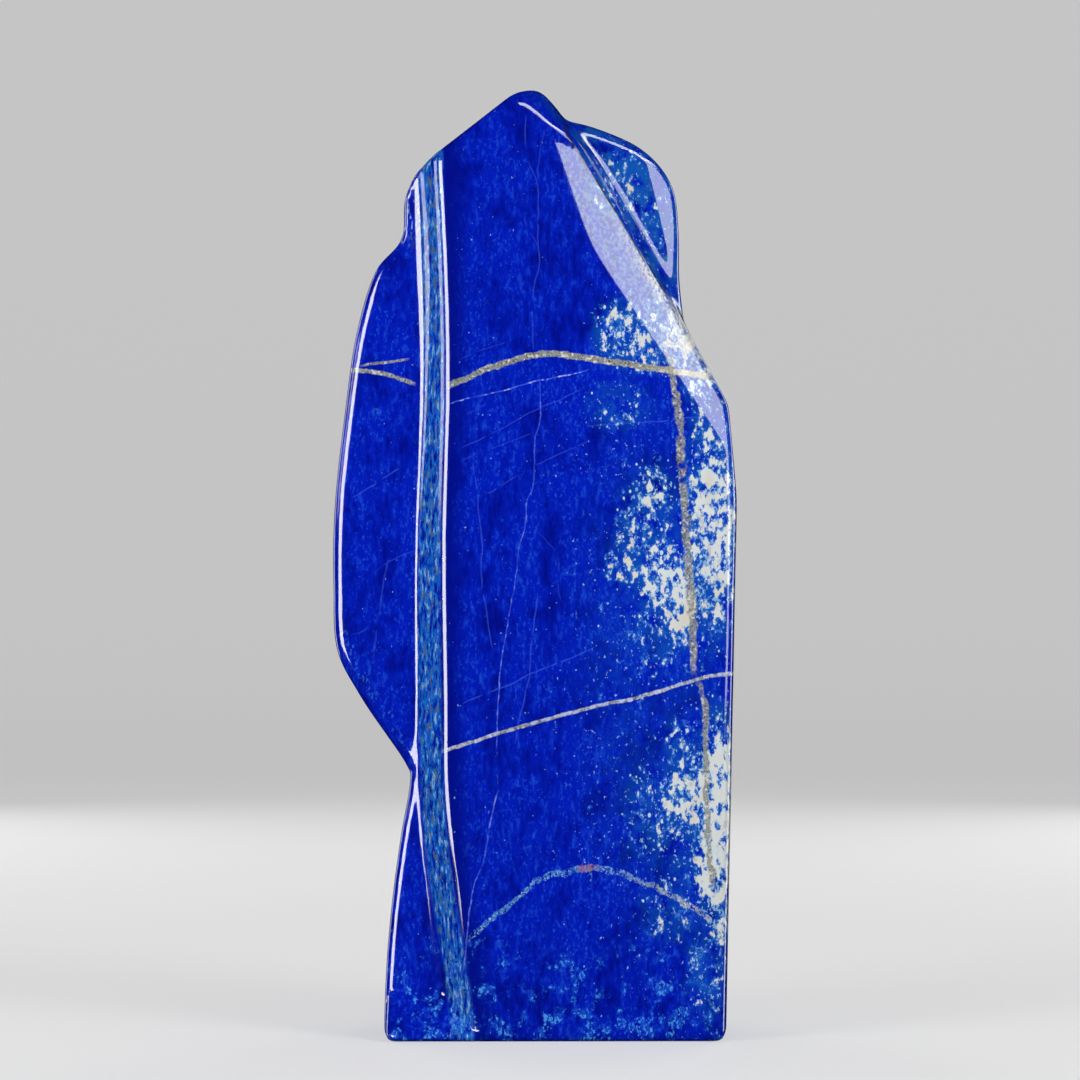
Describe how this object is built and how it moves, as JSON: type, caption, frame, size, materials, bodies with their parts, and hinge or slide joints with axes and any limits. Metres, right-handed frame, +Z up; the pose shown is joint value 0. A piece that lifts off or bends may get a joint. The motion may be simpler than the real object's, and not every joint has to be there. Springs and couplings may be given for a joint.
{
  "type": "lapis lazuli freeform",
  "caption": "Tall polished freeform of lapis lazuli with a broad front face, a recessed side lobe and a flat ground base that it stands on; a display piece.",
  "frame": {"origin": "centre of the stone's box in x and y, on the flat ground base that it stands on", "axes": "+Z up along the stone's height; +X to the right as it is displayed; the broad polished face looks towards -Y"},
  "size_m": [0.1924, 0.1212, 0.4513],
  "materials": {
    "polished_lapis": "hand-polished lapis lazuli: deep ultramarine blue with white and cream calcite patches at the right, grey-gold pyrite and calcite veins, fine pale cracks and lighter blue cloudy streaks; glossy all over"
  },
  "bodies": {
    "root": {"stone": "polished_lapis"}
  },
  "joints": []
}
